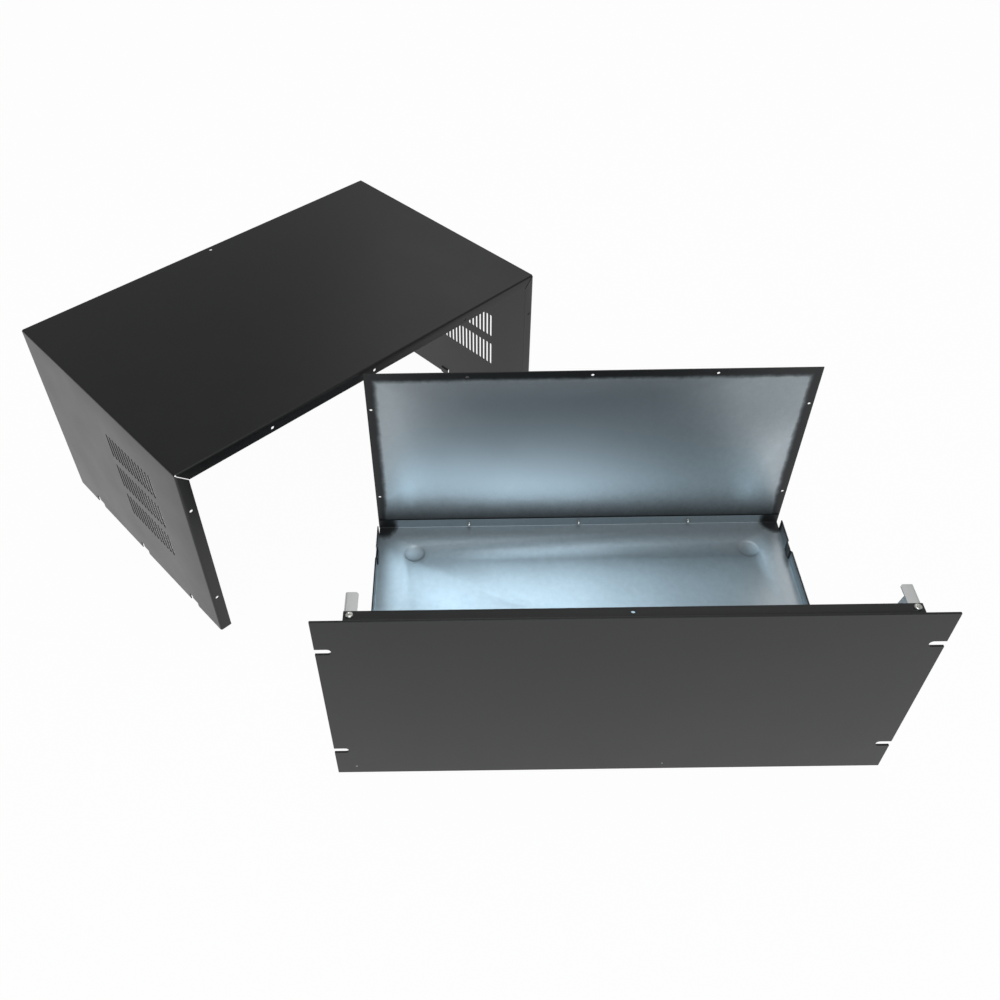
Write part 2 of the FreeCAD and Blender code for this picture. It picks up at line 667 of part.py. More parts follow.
def add_mitres(body):
    """Slits at 45 degrees that part the top flange from the side flanges."""
    slits = new_sketch(body, "mitre_slits", "XZ_Plane", lift=f"-{COVER_REAR}")
    half_slit = "(mitre_gap / sqrt(2))"
    inner_run = "(cover_flange + over_run)"
    for _, side in SIDES:
        draw_outline(slits, (
            (f"{side} * ({COVER_SIDE} + over_run)", f"{COVER_TOP} + over_run - {half_slit}"),
            (f"{side} * ({COVER_SIDE} + over_run - {half_slit})", f"{COVER_TOP} + over_run"),
            (f"{side} * ({COVER_SIDE} - {inner_run} - {half_slit})", f"{COVER_TOP} - {inner_run}"),
            (f"{side} * ({COVER_SIDE} - {inner_run})", f"{COVER_TOP} - {inner_run} - {half_slit}"),
        ))
    cut(body, slits, f"2 * {COVER_FOLD}")


def add_cover_holes(body):
    """Holes in line with the rear panel's, and one over the top strip's middle hole."""
    flanges = new_sketch(body, "flange_holes", "XZ_Plane", lift=f"-{COVER_REAR}")
    for _, side in ROW_OF_THREE:
        height = f"{REAR_TOP} - rear_top_edge - {FLOOR_UNDER}"
        draw_circle(flanges, f"{side} * fixing_spacing", height, CLEAR_HOLE)
    for _, side in SIDES:
        for panel_hole in SIDE_HOLES:
            height = f"{panel_hole} - {FLOOR_UNDER}"
            draw_circle(flanges, f"{side} * ({REAR_SIDE} - rear_side_edge)", height, CLEAR_HOLE)
    cut(body, flanges, "4 * cover_sheet")

    top = new_sketch(body, "top_hole", "XY_Plane", lift=COVER_TOP)
    draw_circle(top, "0", "strip_row", CLEAR_HOLE)
    cut(body, top, "4 * cover_sheet")


def add_vents(body):
    """Rows of upright slots through both sides."""
    slot = new_sketch(body, "vent", "YZ_Plane")
    place = "cover_front_gap + vent_setback"
    middle = f"{COVER_TOP} - vent_drop"
    half_run = "(vent_length - vent_width) / 2"
    draw_slot(slot, (place, f"{middle} - {half_run}"), (place, f"{middle} + {half_run}"), "vent_width")
    first = cut(body, slot)
    along = row_along(body, "vents_along", "Y_Axis", "vent_pitch", "vent_columns")
    down = row_along(body, "vents_down", "Z_Axis", "vent_row_pitch", "vent_rows")
    down.Reversed = True
    repeat(body, "vents", [first], [along, down], "vent_columns * vent_rows")


def add_tongues(body):
    """Tongues at the bottom of each side, set inwards between two slits."""
    inner_side = f"({COVER_SIDE} - cover_sheet)"
    root = "(tongue_height - tongue_slope)"
    half_opening = "(tongue_width / 2 + tongue_slit)"

    opening = new_sketch(body, "tongue_opening", "YZ_Plane", lift=COVER_SIDE)
    draw_box(
        opening, f"{FIRST_CATCH} - {half_opening}", "-over_run",
        f"{FIRST_CATCH} + {half_opening}", "tongue_height",
    )
    gap = cut(body, opening, "4 * cover_sheet")

    tongue = new_sketch(body, "tongue", "XZ_Plane", lift=f"-({FIRST_CATCH} - tongue_width / 2)")
    draw_outline(tongue, (
        (COVER_SIDE, "tongue_height"),
        (f"{COVER_SIDE} - catch_offset", root),
        (f"{COVER_SIDE} - catch_offset", "0"),
        (f"{inner_side} - catch_offset", "0"),
        (f"{inner_side} - catch_offset", root),
        (inner_side, "tongue_height"),
    ))
    leaf = pad(body, tongue, "tongue_width", toward_back=True)
    along = row_along(body, "tongues_along", "Y_Axis", "catch_spacing", "catch_count")
    other_side = mirror_across(body, "tongues_other_side", "YZ_Plane")
    repeat(body, "tongues", [gap, leaf], [along, other_side], "2 * catch_count")


def place_fastener(body, turn_to, across, along, up):
    """Put a fastener, drawn on its own axis with its head up, in the case."""
    body.Placement = FreeCAD.Placement(FreeCAD.Vector(0, 0, 0), turn_to)
    tie(body, "Placement.Base.x", across)
    tie(body, "Placement.Base.y", along)
    tie(body, "Placement.Base.z", up)


HEAD_UP = FreeCAD.Rotation()
HEAD_BACK = FreeCAD.Rotation(FreeCAD.Vector(1, 0, 0), -90)


def build_screw(name, length):
    """A pan head screw with a cross recess."""
    body = new_body(name)
    half = new_sketch(body, "profile", "XZ_Plane")
    draw_outline(half, (
        ("0", f"-{length}"),
        ("screw_diameter / 2", f"-{length}"),
        ("screw_diameter / 2", "0"),
        ("head_diameter / 2", "0"),
        ("head_diameter / 2", "head_height", "head_round"),
        ("0", "head_height"),
    ))
    turn(body, half, "PartDesign::Revolution")

    cross = new_sketch(body, "cross_recess", "XY_Plane", lift="head_height")
    tip, flank = "recess_length / 2", "recess_width / 2"
    draw_outline(cross, (
        (tip, f"-{flank}"), (tip, flank), (flank, flank), (flank, tip),
        (f"-{flank}", tip), (f"-{flank}", flank), (f"-{tip}", flank), (f"-{tip}", f"-{flank}"),
        (f"-{flank}", f"-{flank}"), (f"-{flank}", f"-{tip}"), (flank, f"-{tip}"), (flank, f"-{flank}"),
    ))
    cut(body, cross, "2 * recess_depth")
    return body


def build_rivet(name):
    """A rivet with a low head under the floor and another on the gusset's foot."""
    body = new_body(name)
    grip = "(base_sheet + gusset_sheet)"
    half = new_sketch(body, "profile", "XZ_Plane")
    draw_outline(half, (
        ("0", "-rivet_rise"),
        ("rivet_head / 2", "-rivet_rise", "rivet_rise / 2"),
        ("rivet_head / 2", "0"),
        ("rivet_diameter / 2", "0"),
        ("rivet_diameter / 2", grip),
        ("rivet_head / 2", grip),
        ("rivet_head / 2", f"{grip} + rivet_rise", "rivet_rise / 2"),
        ("0", f"{grip} + rivet_rise"),
    ))
    turn(body, half, "PartDesign::Revolution")
    return body


def build_stud(name):
    """A plain round stud, its foot on the back of the front plate."""
    body = new_body(name)
    disc = new_sketch(body, "section", "XY_Plane")
    draw_circle(disc, "0", "0", "stud_diameter")
    pad(body, disc, "stud_length")
    return body


def build_nut(name):
    """A hexagon nut with a plain bore."""
    body = new_body(name)
    section = new_sketch(body, "section", "XY_Plane")
    draw_outline(section, [
        (f"nut_width / sqrt(3) * cos({60 * corner})", f"nut_width / sqrt(3) * sin({60 * corner})")
        for corner in range(6)
    ])
    draw_circle(section, "0", "0", "stud_diameter + thread_clearance")
    pad(body, section, "nut_height")
    return body


def build_fasteners():
    """Screws, rivets, studs and nuts, each set on the faces that it holds together."""
    pieces = []
    for name, side in SIDES:
        screw = build_screw(f"strip_screw_{name}", "strip_screw_length")
        place_fastener(
            screw, HEAD_UP, f"{side} * ({WALL_SIDE} - strip_screw_edge)", "strip_row", STRIP_TOP
        )
        pieces.append(screw)
    for name, side in ROW_OF_THREE:
        screw = build_screw(f"rear_screw_{name}", "rear_screw_length")
        place_fastener(
            screw, HEAD_BACK, f"{side} * fixing_spacing", "base_depth + rear_sheet",
            f"{FLOOR_UNDER} + rear_screw_rise",
        )
        pieces.append(screw)
    for name, side in SIDES:
        for end in ("front", "rear"):
            rivet = build_rivet(f"gusset_rivet_{name}_{end}")
            place_fastener(
                rivet, HEAD_UP, f"{side} * ({WALL_SIDE} - rivet_edge)", f"rivet_{end}", FLOOR_UNDER
            )
            pieces.append(rivet)
        for level, height in STUDS:
            across = f"{side} * {STUD_SIDE}"
            stud = build_stud(f"panel_stud_{name}_{level}")
            place_fastener(stud, HEAD_BACK, across, "0", height)
            nut = build_nut(f"panel_nut_{name}_{level}")
            place_fastener(nut, HEAD_BACK, across, "base_sheet", height)
            pieces += [stud, nut]
    return pieces


def check_document(pieces):
    """Stop if any object failed or any piece isn't one valid solid."""
    doc.recompute()
    for item in doc.Objects:
        if "Invalid" in item.State or "Error" in item.State:
            raise RuntimeError(f"{item.Name} failed: {item.State}")
    for piece in pieces:
        shape = piece.Shape
        if shape.isNull() or not shape.isValid() or len(shape.Solids) != 1:
            raise RuntimeError(f"{piece.Label} isn't one valid solid")


def write_pieces(pieces):
    """Write each piece to a STEP file named after it."""
    os.makedirs("parts", exist_ok=True)
    for piece in pieces:
        piece.Shape.exportStep(f"parts/{piece.Label}.step")
        box = piece.Shape.BoundBox
        print(
            f"{piece.Label:26} {piece.Shape.Volume:11.1f} mm3"
            f"  x {box.XMin:8.2f} {box.XMax:8.2f}  y {box.YMin:8.2f} {box.YMax:8.2f}"
            f"  z {box.ZMin:7.2f} {box.ZMax:7.2f}"
        )


pieces = [build_front_panel(), build_base_pan(), build_rear_panel()]
pieces += [build_gusset(name, side) for name, side in SIDES]
pieces.append(build_cover())
pieces += build_fasteners()
check_document(pieces)
write_pieces(pieces)
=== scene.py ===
# %% [markdown]
# # A rack instrument case in folded sheet steel, with its cover off
#
# The real object is five pieces of sheet: a thick flat front plate, a shallow base pan, a flat
# rear panel, two corner gussets, and a cover that lifts off. This script loads the packed
# engineering model as a frame that never moves, gives every sheet softer cut edges and its real
# finish, makes the fasteners, and sets up the floor, the lamps and the camera.

# %% Load the frame
import math
import bmesh
import bpy
from mathutils import Matrix, Vector


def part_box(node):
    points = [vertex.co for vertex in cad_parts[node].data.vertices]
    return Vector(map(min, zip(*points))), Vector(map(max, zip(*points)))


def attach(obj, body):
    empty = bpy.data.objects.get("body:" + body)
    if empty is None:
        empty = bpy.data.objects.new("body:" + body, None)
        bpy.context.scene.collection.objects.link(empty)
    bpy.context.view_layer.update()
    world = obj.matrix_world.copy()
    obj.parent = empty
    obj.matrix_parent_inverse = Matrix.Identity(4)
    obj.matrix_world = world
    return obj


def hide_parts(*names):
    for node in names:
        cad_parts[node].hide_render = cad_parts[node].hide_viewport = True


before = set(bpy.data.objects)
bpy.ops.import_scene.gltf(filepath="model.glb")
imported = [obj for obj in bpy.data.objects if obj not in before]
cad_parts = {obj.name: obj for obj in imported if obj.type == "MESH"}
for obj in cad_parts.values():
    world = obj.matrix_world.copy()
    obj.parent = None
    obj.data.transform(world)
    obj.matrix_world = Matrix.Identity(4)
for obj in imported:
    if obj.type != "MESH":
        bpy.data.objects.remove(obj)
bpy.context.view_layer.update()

MM = 0.001

# %% [markdown]
# ## Camera
# The camera stands in front and above, about 0.9 m away, and looks down by 44 degrees. Its
# turn is written as three plain rotations, in the order in which a photographer makes them:
# swing the tripod head, tip it down, then lean it a little. A small lens shift frames the case.

# %% Camera
CAMERA_PLACE = Vector((-0.12226, -0.44162, 0.80837))
CAMERA_SWING, CAMERA_TIP, CAMERA_LEAN = 0.507, 44.172, -1.219
SENSOR = 36.0
FOCAL = 0.980565 * SENSOR

lens = bpy.data.cameras.new("case_camera")
lens.sensor_width = SENSOR
lens.lens = FOCAL
lens.shift_x, lens.shift_y = 0.03944, -0.03430
lens.clip_start, lens.clip_end = 0.05, 20.0
camera = bpy.data.objects.new("case_camera", lens)
bpy.context.collection.objects.link(camera)
camera.matrix_world = (
    Matrix.Translation(CAMERA_PLACE)
    @ Matrix.Rotation(math.radians(CAMERA_SWING), 4, "Z")
    @ Matrix.Rotation(math.radians(90 - CAMERA_TIP), 4, "X")
    @ Matrix.Rotation(math.radians(CAMERA_LEAN), 4, "Z")
)
bpy.context.scene.camera = camera
print("camera at", [round(v, 3) for v in camera.location], "lens", round(lens.lens, 2))

# %% [markdown]
# ## Shader maths as plain expressions
# A finish is a field of numbers over a surface: how far from an edge, how grainy, how dark.
# Written as nodes that maths is long and hard to read, so one small class wraps a node's socket
# and lets Python's own operators add the Math nodes. `1 - mask` works as well as `mask * 2`.

# %% Field and Board
class Field:
    """A socket's value that Python's operators can work with."""

    def __init__(self, board, socket):
        self.board, self.socket = board, socket

    def math(self, operation, *values):
        return self.board.node("ShaderNodeMath", {"operation": operation}, dict(enumerate(values)))

    def __add__(self, other): return self.math("ADD", self, other)
    def __radd__(self, other): return self.math("ADD", other, self)
    def __sub__(self, other): return self.math("SUBTRACT", self, other)
    def __rsub__(self, other): return self.math("SUBTRACT", other, self)
    def __mul__(self, other): return self.math("MULTIPLY", self, other)
    def __rmul__(self, other): return self.math("MULTIPLY", other, self)
    def __truediv__(self, other): return self.math("DIVIDE", self, other)
    def __pow__(self, other): return self.math("POWER", self, other)
    def __neg__(self): return self.math("MULTIPLY", self, -1.0)
    def __abs__(self): return self.math("ABSOLUTE", self)
    def least(self, other): return self.math("MINIMUM", self, other)
    def most(self, other): return self.math("MAXIMUM", self, other)


class Board:
    """A node tree and the single way in which nodes are added to it."""

    def node(self, kind, settings=None, inputs=None, output=0):
        made = self.tree.nodes.new(kind)
        for name, value in (settings or {}).items():
            setattr(made, name, value)
        for name, value in (inputs or {}).items():
            self.join(value, made.inputs[name])
        return Field(self, made.outputs[output])

    def join(self, value, socket):
        several = value if isinstance(value, list) else [value]
        for one in several:
            if isinstance(one, Field):
                self.tree.links.new(one.socket, socket)
            else:
                socket.default_value = one

    def vector(self, x=0.0, y=0.0, z=0.0):
        return self.node("ShaderNodeCombineXYZ", inputs={0: x, 1: y, 2: z})


# %% Finish
class Finish(Board):
    """One material: noise, masks and colours that feed its one shader."""

    def __init__(self, name, **shader):
        self.material = bpy.data.materials.new(name)
        self.material.use_nodes = True
        self.tree = self.material.node_tree
        self.shader = self.tree.nodes["Principled BSDF"]
        self.feed(**shader)

    def feed(self, **values):
        for name, value in values.items():
            self.join(value, self.shader.inputs[name.replace("_", " ")])

    def place(self, location=(0, 0, 0), turn=(0, 0, 0)):
        """Object coordinates in metres, moved and turned to lie along a piece."""
        plain = self.node("ShaderNodeTexCoord", output="Object")
        if location == (0, 0, 0) and turn == (0, 0, 0):
            return plain
        return self.node("ShaderNodeMapping", {"vector_type": "TEXTURE"},
                         {"Vector": plain, "Location": location, "Rotation": turn})

    def parts(self, vector):
        node = self.node("ShaderNodeSeparateXYZ", inputs={"Vector": vector}).socket.node
        return [Field(self, socket) for socket in node.outputs]

    def noise(self, vector, size, detail=2.0, roughness=0.5):
        """Smooth noise with lumps of a real size in metres, around 0.5."""
        return self.node("ShaderNodeTexNoise", {"noise_dimensions": "3D"},
                         {"Vector": vector, "Scale": 1 / size, "Detail": detail,
                          "Roughness": roughness}, output="Fac")

    def gap(self, vector, point):
        """Distance in metres from a point."""
        return self.node("ShaderNodeVectorMath", {"operation": "DISTANCE"},
                         {0: vector, 1: point}, output="Value")

    def rise(self, field, start, end, low=0.0, high=1.0):
        """Smooth step of a field from low to high between two values."""
        return self.node("ShaderNodeMapRange", {"interpolation_type": "SMOOTHSTEP"},
                         {"Value": field, "From Min": start, "From Max": end,
                          "To Min": low, "To Max": high})

    def blend(self, amount, first, second):
        """Colour that goes from first to second."""
        return self.node("ShaderNodeMix", {"data_type": "RGBA"},
                         {"Factor": amount, 6: first, 7: second}, output=2)

    def bump(self, *layers):
        """Each layer is a height field and how many metres its 0 to 1 stands for."""
        normal = None
        for height, metres in layers:
            inputs = {"Height": height, "Distance": metres, "Strength": 1.0}
            if normal is not None:
                inputs["Normal"] = normal
            normal = self.node("ShaderNodeBump", inputs=inputs)
        self.feed(Normal=normal)


def grey(value, warm=0.0):
    return (value * (1 + warm), value, value * (1 - warm), 1.0)


print("shader helpers ready")

# %% [markdown]
# ## Black satin paint
# The outside is powder paint: a thin plastic coat baked on steel. Close up it has an orange
# peel about a millimetre across, and the sheet under it is never quite flat. The colour is
# almost black. What makes a wall look grey is the white table mirrored in the satin coat.

# %% Paint
PAINT_ROUGHNESS = 0.34


def satin_paint(name, shade, location=(0, 0, 0), turn=(0, 0, 0), chips=()):
    paint = Finish(name, Roughness=PAINT_ROUGHNESS, IOR=1.45)
    place = paint.place(location, turn)
    peel = paint.noise(place, 0.0011, 2.0, 0.55)
    wave = paint.noise(place, 0.14, 1.0, 0.4)
    cloud = paint.noise(place, 0.045, 3.0, 0.55)
    dust = paint.rise(paint.noise(place, 0.0007, 1.0, 0.5), 0.70, 0.78)
    colour = paint.blend(cloud, grey(shade * 0.82), grey(shade * 1.18))
    colour = paint.blend(dust * 0.10, colour, grey(0.35))
    for centre, radius in chips:
        away = paint.gap(place, centre) + 0.0006 * paint.noise(place, 0.001)
        chip = 1 - paint.rise(away, radius, radius * 1.7)
        colour = paint.blend(chip, colour, (0.55, 0.55, 0.52, 1))
    paint.feed(Base_Color=colour, Roughness=PAINT_ROUGHNESS - 0.05 + 0.10 * cloud)
    paint.bump((wave, 0.0006), (peel, 0.000018))
    return paint.material


PANEL_CHIPS = (((-0.2240, -0.002, 0.0109), 0.0008), ((0.0471, -0.002, 0.0092), 0.0007))
panel_paint = satin_paint("panel_paint", 0.010, chips=PANEL_CHIPS)
cover_paint = satin_paint("cover_paint", 0.007)
print("paints", panel_paint.name, cover_paint.name)

# %% [markdown]
# ## Bare galvanised inside with overspray, painted shade and painted highlights
# Only the outside was sprayed. Inside, the zinc coat shows: a cool grey metal with a soft
# spangle. Paint mist drifted in past the edges, so the grey fades to black towards each edge,
# more in the rear corners of the floor. Towards the bottom of the rear panel and the rear of the
# floor, where the two meet, the black is partly overspray and partly painted shade. The upper
# far corner of the rear panel is darkened with painted shade, and one patch on each sheet is
# made brighter and bluer as a painted highlight.

# %% Galvanised sheet
def zinc_coat(finish, place):
    """Colour and roughness of a galvanised sheet, and its place-to-place change."""
    spangle = finish.noise(place, 0.006, 3.0, 0.6)
    cloud = finish.noise(place, 0.07, 3.0, 0.5)
    colour = finish.blend(spangle, (0.50, 0.57, 0.61, 1), (0.62, 0.69, 0.73, 1))
    return colour, spangle, cloud


def inner_sheet(name, mist_and_shade, painted_highlight_spot):
    """The mist function gives the amount of overspray from x, y, z and noise, and in places painted
    shade as well.

    The spot is the centre and the reach of a painted highlight, where the zinc is made brighter and
    bluer.
    """
    inside = Finish(name, Metallic=1.0)
    place = inside.place()
    colour, spangle, cloud = zinc_coat(inside, place)
    centre, reach = painted_highlight_spot
    # Painted highlight: the zinc's colour is made brighter and bluer round the spot.
    painted_highlight = 1 - inside.rise(inside.gap(place, centre), 0.02, reach)
    colour = inside.blend(painted_highlight, colour, (0.86, 0.93, 0.98, 1))
    x, y, z = inside.parts(place)
    ragged = inside.noise(place, 0.012, 4.0, 0.65)
    speckle = inside.noise(place, 0.0012, 1.0, 0.5)
    # The amount is overspray, and painted shade where the rear panel meets the floor and in the
    # rear panel's upper far corner.
    amount = mist_and_shade(inside, x, y, z, ragged, cloud)
    amount = inside.rise(amount + 0.10 * (speckle - 0.5), 0.0, 1.0)
    inside.feed(
        Base_Color=inside.blend(amount, colour, (0.012, 0.013, 0.014, 1)),
        Metallic=1 - amount,
        Roughness=0.34 + 0.08 * cloud + 0.10 * amount,
    )
    inside.bump((cloud, 0.0005), (spangle, 0.00001), (speckle, 0.000006))
    return inside.material


REAR_LOW, REAR_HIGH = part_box("rear_panel")


def rear_panel_mist_and_shade(inside, x, y, z, ragged, cloud):
    side = REAR_HIGH.x - abs(x)
    top = REAR_HIGH.z - z
    bottom = z - REAR_LOW.z
    edge = side.least(top)
    edge_mist = (1 - inside.rise(edge + 0.004 * (ragged - 0.5), 0.005, 0.016)) ** 0.8
    wide_mist = 0.35 * (1 - inside.rise(edge, 0.0, 0.050))
    # Darker towards the bottom: partly overspray, partly painted shade in the crease with the
    # floor.
    low_mist_and_shade = (1 - inside.rise(bottom + 0.006 * (ragged - 0.5), -0.010, 0.085)) ** 1.1
    # Painted shade: the upper far corner of the rear panel is darkened.
    far_corner_shade = 0.40 * inside.rise(x, 0.06, 0.19) * inside.rise(z, 0.06, 0.17)
    return edge_mist.most(wide_mist).most(low_mist_and_shade).most(far_corner_shade)


BASE_LOW, BASE_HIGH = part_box("base_pan")


def base_mist_and_shade(inside, x, y, z, ragged, cloud):
    side = 0.2165 - abs(x)
    rear = BASE_HIGH.y - y
    corner = (side ** 2 + rear ** 2) ** 0.5
    blotch = 1 - inside.rise(corner + 0.008 * (ragged - 0.5), 0.010, 0.026)
    high = inside.rise(z, 0.0125, 0.0150)
    flange = 0.45 * inside.rise(z + 0.002 * (ragged - 0.5), 0.003, 0.012)
    # Darker towards the rear of the floor: partly overspray, partly painted shade in the crease
    # with the rear panel.
    rear_haze_and_shade = 0.45 * (1 - inside.rise(rear + 0.010 * (ragged - 0.5), 0.0, 0.070))
    return blotch.most(flange).most(high).most(rear_haze_and_shade)


# The last pair on each line is a painted highlight: its centre and its reach.
rear_inside = inner_sheet("rear_panel_inside", rear_panel_mist_and_shade, ((-0.070, 0.2925, 0.117), 0.22))
base_inside = inner_sheet("base_pan_inside", base_mist_and_shade, ((0.110, 0.075, 0.0012), 0.10))
print("inside finishes", rear_inside.name, base_inside.name)

# %% [markdown]
# ## Cover's inside
# The cover was sprayed on both sides, with a thinner coat inside, so its inside is a little
# lighter than its outside. A second paint could be mixed from nothing, but it is the same paint,
# so the same function makes it with a lighter shade.

# %% Cover's inside
cover_inside = satin_paint("cover_inside", 0.022)

# %% [markdown]
# ## Bare metal of the gussets and fasteners
# The gussets are galvanised and were fitted after spraying. Screws, rivets, studs and nuts are
# bright zinc plate. Both are bare metal with fine grain, and only colour and polish differ, so
# one function makes both. A scratch pattern could be added, but parts this small never show it.

# %% Bare metal of the gussets and fasteners
def bare_metal(name, colour, roughness):
    metal = Finish(name, Metallic=1.0)
    place = metal.place()
    brush = metal.noise(place, 0.0008, 2.0, 0.6)
    cloud = metal.noise(place, 0.02, 3.0, 0.5)
    dull = tuple(v * 0.82 for v in colour[:3]) + (1,)
    metal.feed(Base_Color=metal.blend(cloud, dull, colour),
               Roughness=roughness - 0.05 + 0.1 * brush)
    metal.bump((brush, 0.000008))
    return metal.material


gusset_zinc = bare_metal("gusset_zinc", (0.84, 0.845, 0.845, 1), 0.45)
plated_steel = bare_metal("plated_steel", (0.78, 0.77, 0.73, 1), 0.28)

# %% [markdown]
# ## The sheets
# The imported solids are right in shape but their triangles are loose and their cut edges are
# perfectly sharp. A copy is merged into one skin, its flat faces are made whole, and a small
# bevel breaks the cut edges so that they catch the light. The two skins of a sheet get their
# own finish: starting at one face, the inside skin is everything that can be reached without
# crossing a cut edge, because a fold turns a little at a time and a cut turns all at once.

# %% Sheet helpers
EDGE_BREAK = 0.00015
CUT_ANGLE = math.radians(35)


def merged_copy(node, name):
    shell = bmesh.new()
    shell.from_mesh(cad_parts[node].data)
    bmesh.ops.remove_doubles(shell, verts=shell.verts, dist=1e-6)
    bmesh.ops.dissolve_limit(shell, angle_limit=math.radians(0.2),
                             verts=shell.verts, edges=shell.edges)
    for face in shell.faces:
        face.material_index = 0
        face.smooth = True
    for edge in shell.edges:
        edge.smooth = True
    mesh = bpy.data.meshes.new(name)
    shell.to_mesh(mesh)
    shell.free()
    for spare in ("custom_normal", "sharp_face"):
        if spare in mesh.attributes:
            mesh.attributes.remove(mesh.attributes[spare])
    piece = bpy.data.objects.new(name, mesh)
    bpy.context.collection.objects.link(piece)
    return piece


def paint_skin(mesh, point, normal, slot):
    """Give one skin of a sheet its own material slot, starting from the face at a point."""
    skin = bmesh.new()
    skin.from_mesh(mesh)
    skin.faces.ensure_lookup_table()
    facing = [f for f in skin.faces if f.normal.dot(normal) > 0.99
              and abs((f.calc_center_median() - point).dot(normal)) < 0.0002]
    start = min(facing, key=lambda f: (f.calc_center_median() - point).length)
    reached, edge_of_work = {start}, [start]
    while edge_of_work:
        face = edge_of_work.pop()
        for edge in face.edges:
            if len(edge.link_faces) == 2 and edge.calc_face_angle() < CUT_ANGLE:
                for other in edge.link_faces:
                    if other not in reached:
                        reached.add(other)
                        edge_of_work.append(other)
    for face in reached:
        face.material_index = slot
    count, area = len(reached), sum(f.calc_area() for f in reached)
    skin.to_mesh(mesh)
    skin.free()
    return count, area


def finish_sheet(piece, node, slot, *materials, edge=EDGE_BREAK):
    for material in materials:
        piece.data.materials.append(material)
    bevel = piece.modifiers.new("cut_edges", "BEVEL")
    bevel.width = edge
    bevel.segments = 2
    bevel.limit_method = "ANGLE"
    bevel.angle_limit = CUT_ANGLE
    bevel.harden_normals = True
    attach(piece, "root")
    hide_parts(node)


# %% Front plate, base pan and rear panel
front_plate = merged_copy("front_panel", "front_plate")
finish_sheet(front_plate, "front_panel", "panel_paint", panel_paint, edge=0.0004)

base = merged_copy("base_pan", "base")
print("base inside", paint_skin(base.data, Vector((0, 0.15, 0.0024)), Vector((0, 0, 1)), 1))
finish_sheet(base, "base_pan", "base_finish", panel_paint, base_inside)

rear = merged_copy("rear_panel", "rear")
print("rear inside", paint_skin(rear.data, Vector((0, REAR_LOW.y, 0.11)), Vector((0, -1, 0)), 1))
finish_sheet(rear, "rear_panel", "rear_finish", cover_paint, rear_inside)

# %% [markdown]
# ## Gussets
# Two bent brackets tie the floor to the ends of the top strip. Each is one blank with a web and
# three narrow flanges: a foot, a lap on the front wall and a tab under the strip. They could be
# folded again here from strips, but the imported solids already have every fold, so copies of
# them are used, with the same broken edges as the other sheets.

# %% Gussets
for side in ("left", "right"):
    gusset = merged_copy(f"{side}_gusset", f"gusset_{side}")
    finish_sheet(gusset, f"{side}_gusset", "galvanised_steel", gusset_zinc)

# %% [markdown]
# ## Recipes: geometry node trees built in the script
# Screws, rivets, nuts and the cover's vent slots are the same small shape many times, at places
# that follow a rule. A geometry node tree states the rule once, with its sizes as named inputs.
# Modelling one and copying it by hand would work too, but a change of one size would then have
# to be made in every copy. The tree's result is turned into a plain mesh at the end.

# %% Recipe
FLOAT, WHOLE, VECTOR = "NodeSocketFloat", "NodeSocketInt", "NodeSocketVector"


